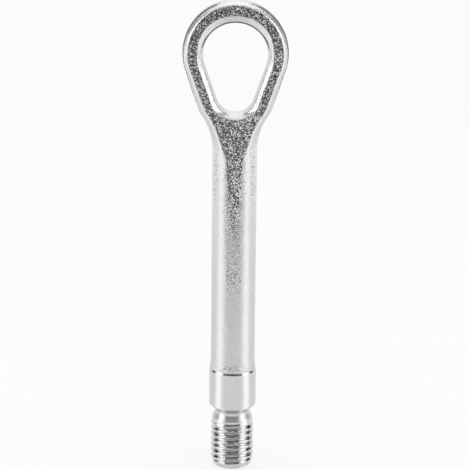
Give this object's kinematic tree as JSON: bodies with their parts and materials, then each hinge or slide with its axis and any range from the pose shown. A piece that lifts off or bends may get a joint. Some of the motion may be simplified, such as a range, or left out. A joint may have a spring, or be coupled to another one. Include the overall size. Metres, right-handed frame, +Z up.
{
  "type": "tow eye",
  "caption": "Screw-in towing eye for a car: forged teardrop eye on a round shank, with a turned collar and a threaded end.",
  "frame": {"origin": "at the middle of the screw's end face, on which the part stands", "axes": "+Z up the shank from the screw end to the eye, +Y square to the eye's flat faces, +X across the eye"},
  "size_m": [0.0426, 0.0198, 0.1975],
  "materials": {
    "zinc_steel": "bright zinc plate over a shot-blasted forging, turned on the collar and thread"
  },
  "bodies": {
    "root": {"tow_eye": "zinc_steel"}
  },
  "joints": []
}
